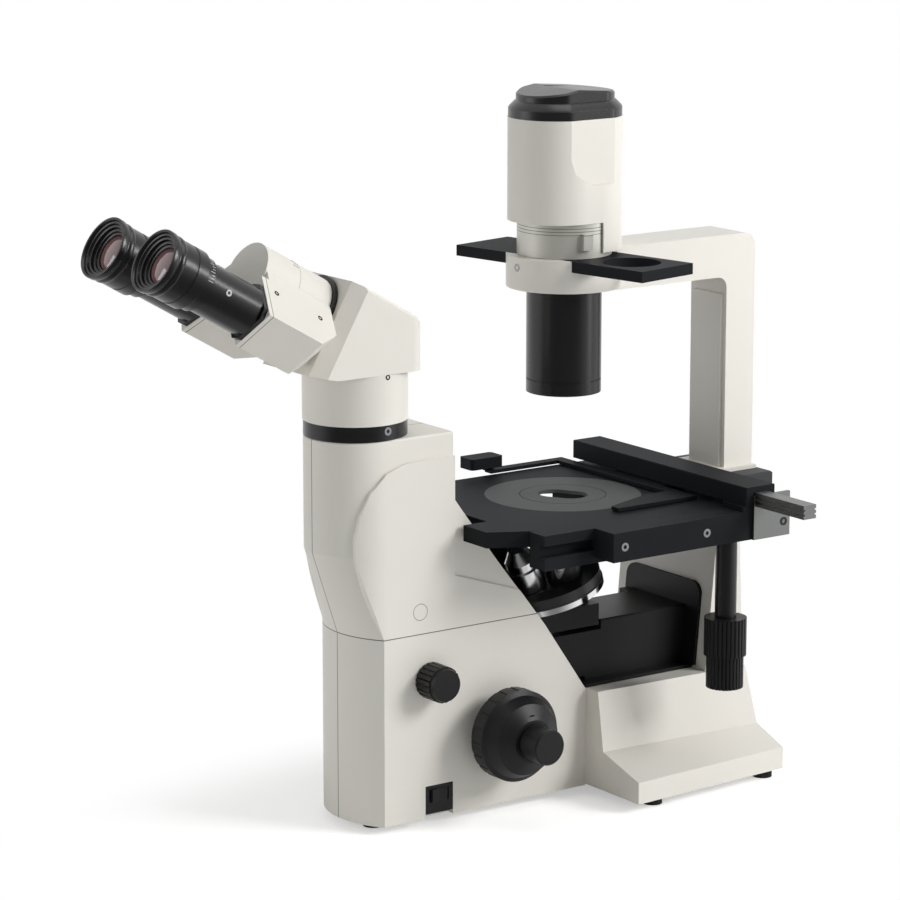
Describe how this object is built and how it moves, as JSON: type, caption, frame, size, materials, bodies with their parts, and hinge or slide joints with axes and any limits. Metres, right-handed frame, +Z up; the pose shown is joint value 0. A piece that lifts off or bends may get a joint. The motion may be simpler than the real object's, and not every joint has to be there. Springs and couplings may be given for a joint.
{
  "type": "inverted microscope",
  "caption": "inverted laboratory microscope with a tilted binocular head, mechanical stage, objective turret below the stage and a pillar lamp above it",
  "frame": {"origin": "on the desk surface, under the middle of the whole outline", "axes": "+X to the operator's right, +Y away from the operator, +Z up"},
  "size_m": [0.269, 0.5178, 0.495],
  "materials": {
    "base_casting": "cream paint",
    "brightness_knob": "satin black",
    "clamp_ring": "satin black",
    "coarse_knobs": "satin black",
    "coarse_shaft": "brushed",
    "condenser_tube": "satin black",
    "dioptre_ring_left": "satin black",
    "dioptre_ring_right": "satin black",
    "drive_sleeve": "satin black",
    "end_plate": "satin",
    "eyepiece_left": "satin black",
    "eyepiece_right": "satin black",
    "eyetube_left": "satin black",
    "eyetube_right": "satin black",
    "feet": "matt",
    "field_ring": "satin black",
    "filter_slider": "satin black",
    "fine_knobs": "satin black",
    "floor_plate": "satin black",
    "focus_carriage": "satin black",
    "focus_guide": "satin",
    "head_housing": "cream paint",
    "hole_plug": "cream",
    "imaging_tube": "satin black",
    "lamp_bulb": "clear",
    "lamp_cap": "satin black",
    "lamp_house": "fine textured cream",
    "light_path_box": "satin black",
    "lower_shell_left": "fine textured cream",
    "lower_shell_right": "fine textured cream",
    "mirror_block": "satin black",
    "mirror_box": "satin black",
    "nosepiece_mount": "satin black",
    "nosepiece_plug": "satin black",
    "objectives": "polished",
    "pillar_arm": "cream paint",
    "pillar_base_block": "dark grey",
    "power_rocker": "satin black",
    "power_supply": "dull",
    "prism_box_left": "fine textured cream",
    "prism_box_right": "fine textured cream",
    "rack_bar": "brushed",
    "rear_column": "cream paint",
    "relay_tube": "satin black",
    "specimen_holder": "satin black",
    "spring_clip": "satin black",
    "stage_insert": "grey",
    "stage_plate": "satin black",
    "support_plate": "satin black",
    "switch_housing": "satin black",
    "turret": "polished",
    "upper_shell_left": "fine textured cream",
    "upper_shell_right": "fine textured cream",
    "window_cover": "satin black",
    "x_channel": "satin black",
    "x_drive_knob": "satin black",
    "y_carriage": "satin black",
    "y_drive_knob": "satin black",
    "y_rail": "satin black"
  },
  "bodies": {
    "stand": {"upper_shell_right": "upper_shell_right", "upper_shell_left": "upper_shell_left", "lower_shell_right": "lower_shell_right", "lower_shell_left": "lower_shell_left", "base_casting": "base_casting", "rear_column": "rear_column", "window_cover": "window_cover", "light_path_box": "light_path_box", "floor_plate": "floor_plate", "support_plate": "support_plate", "pillar_base_block": "pillar_base_block", "feet": "feet", "mirror_box": "mirror_box", "imaging_tube": "imaging_tube", "mirror_block": "mirror_block", "relay_tube": "relay_tube", "focus_guide": "focus_guide", "hole_plug": "hole_plug", "stage_plate": "stage_plate", "y_rail": "y_rail", "clamp_ring": "clamp_ring", "pillar_arm": "pillar_arm", "condenser_tube": "condenser_tube", "lamp_house": "lamp_house", "lamp_cap": "lamp_cap", "lamp_bulb": "lamp_bulb", "switch_housing": "switch_housing", "power_supply": "power_supply"},
    "dimmer": {"brightness_knob": "brightness_knob"},
    "rocker": {"power_rocker": "power_rocker"},
    "coarse_focus": {"coarse_shaft": "coarse_shaft", "coarse_knobs": "coarse_knobs"},
    "fine_focus": {"fine_knobs": "fine_knobs"},
    "carriage": {"focus_carriage": "focus_carriage", "nosepiece_mount": "nosepiece_mount"},
    "nosepiece": {"turret": "turret", "objectives": "objectives", "nosepiece_plug": "nosepiece_plug"},
    "insert": {"stage_insert": "stage_insert"},
    "y_stage": {"y_carriage": "y_carriage", "end_plate": "end_plate", "x_channel": "x_channel", "drive_sleeve": "drive_sleeve"},
    "x_stage": {"rack_bar": "rack_bar", "specimen_holder": "specimen_holder"},
    "clip": {"spring_clip": "spring_clip"},
    "y_knob": {"y_drive_knob": "y_drive_knob"},
    "x_knob": {"x_drive_knob": "x_drive_knob"},
    "slider": {"filter_slider": "filter_slider"},
    "aperture": {"field_ring": "field_ring"},
    "head": {"head_housing": "head_housing"},
    "wing_right": {"prism_box_right": "prism_box_right", "eyetube_right": "eyetube_right", "eyepiece_right": "eyepiece_right"},
    "wing_left": {"prism_box_left": "prism_box_left", "eyetube_left": "eyetube_left", "eyepiece_left": "eyepiece_left"},
    "dioptre_right": {"dioptre_ring_right": "dioptre_ring_right"},
    "dioptre_left": {"dioptre_ring_left": "dioptre_ring_left"}
  },
  "joints": [
    {"name": "focus_travel", "type": "slide", "parent": "stand", "child": "carriage", "axis": [0, 0, 1], "range_m": [-0.002, 0.003]},
    {"name": "coarse_turn", "type": "hinge", "parent": "stand", "child": "coarse_focus", "pos_m": [-0.0355, 0.01691, 0.061], "axis": [1, 0, 0], "range_deg": [-20, 30]},
    {"name": "fine_turn", "type": "hinge", "parent": "stand", "child": "fine_focus", "pos_m": [-0.0355, 0.01691, 0.061], "axis": [1, 0, 0], "continuous": true},
    {"name": "turret_turn", "type": "hinge", "parent": "carriage", "child": "nosepiece", "pos_m": [-0.0355, 0.10091, 0.075], "axis": [0, -0.2588, 0.9659], "continuous": true},
    {"name": "dimmer_turn", "type": "hinge", "parent": "stand", "child": "dimmer", "pos_m": [-0.0355, -0.03909, 0.104], "axis": [1, 0, 0], "range_deg": [-135, 135]},
    {"name": "rocker_tip", "type": "hinge", "parent": "stand", "child": "rocker", "pos_m": [-0.0026, -0.03159, 0.0216], "axis": [0, 0, 1], "range_deg": [-12, 0]},
    {"name": "insert_turn", "type": "hinge", "parent": "stand", "child": "insert", "pos_m": [-0.0355, 0.10091, 0.207], "axis": [0, 0, 1], "continuous": true},
    {"name": "stage_y", "type": "slide", "parent": "stand", "child": "y_stage", "axis": [0, 1, 0], "range_m": [-0.043, 0.022]},
    {"name": "stage_x", "type": "slide", "parent": "y_stage", "child": "x_stage", "axis": [1, 0, 0], "range_m": [-0.057, 0.05]},
    {"name": "y_knob_turn", "type": "hinge", "parent": "y_stage", "child": "y_knob", "pos_m": [0.0715, 0.16191, 0.12], "axis": [0, 0, 1], "range_deg": [-520, 270]},
    {"name": "x_knob_turn", "type": "hinge", "parent": "y_stage", "child": "x_knob", "pos_m": [0.0715, 0.16191, 0.095], "axis": [0, 0, 1], "range_deg": [-690, 605]},
    {"name": "clip_swing", "type": "hinge", "parent": "x_stage", "child": "clip", "pos_m": [-0.1195, 0.09691, 0.215], "axis": [0, 0, 1], "range_deg": [-30, 30], "stiffness_Nm_per_rad": 0.05},
    {"name": "slider_travel", "type": "slide", "parent": "stand", "child": "slider", "axis": [0.9816, 0.1908, 0], "range_m": [-0.062, 0.015]},
    {"name": "aperture_turn", "type": "hinge", "parent": "stand", "child": "aperture", "pos_m": [-0.0355, 0.10091, 0.39], "axis": [0, 0, 1], "range_deg": [-60, 10]},
    {"name": "head_turn", "type": "hinge", "parent": "stand", "child": "head", "pos_m": [-0.0355, -0.07409, 0.3], "axis": [0, 0, 1], "range_deg": [-90, 90]},
    {"name": "wing_right_swing", "type": "hinge", "parent": "head", "child": "wing_right", "pos_m": [-0.0355, -0.10169, 0.3575], "axis": [0, -0.866, 0.5], "range_deg": [-11, 16]},
    {"name": "wing_left_swing", "type": "hinge", "parent": "head", "child": "wing_left", "pos_m": [-0.0355, -0.10169, 0.3575], "axis": [0, -0.866, 0.5], "range_deg": [-16, 11]},
    {"name": "dioptre_right_turn", "type": "hinge", "parent": "wing_right", "child": "dioptre_right", "pos_m": [-0.0035, -0.21922, 0.39394], "axis": [0, -0.866, 0.5], "range_deg": [-150, 150]},
    {"name": "dioptre_left_turn", "type": "hinge", "parent": "wing_left", "child": "dioptre_left", "pos_m": [-0.0675, -0.21922, 0.39394], "axis": [0, -0.866, 0.5], "range_deg": [-150, 150]}
  ],
  "couplings": [
    {"joint": "coarse_turn", "follows": "focus_travel", "rad_per_m": 166.67},
    {"joint": "y_knob_turn", "follows": "stage_y", "rad_per_m": 209.44},
    {"joint": "x_knob_turn", "follows": "stage_x", "rad_per_m": 209.44},
    {"joint": "wing_left_swing", "follows": "wing_right_swing", "ratio": -1}
  ]
}
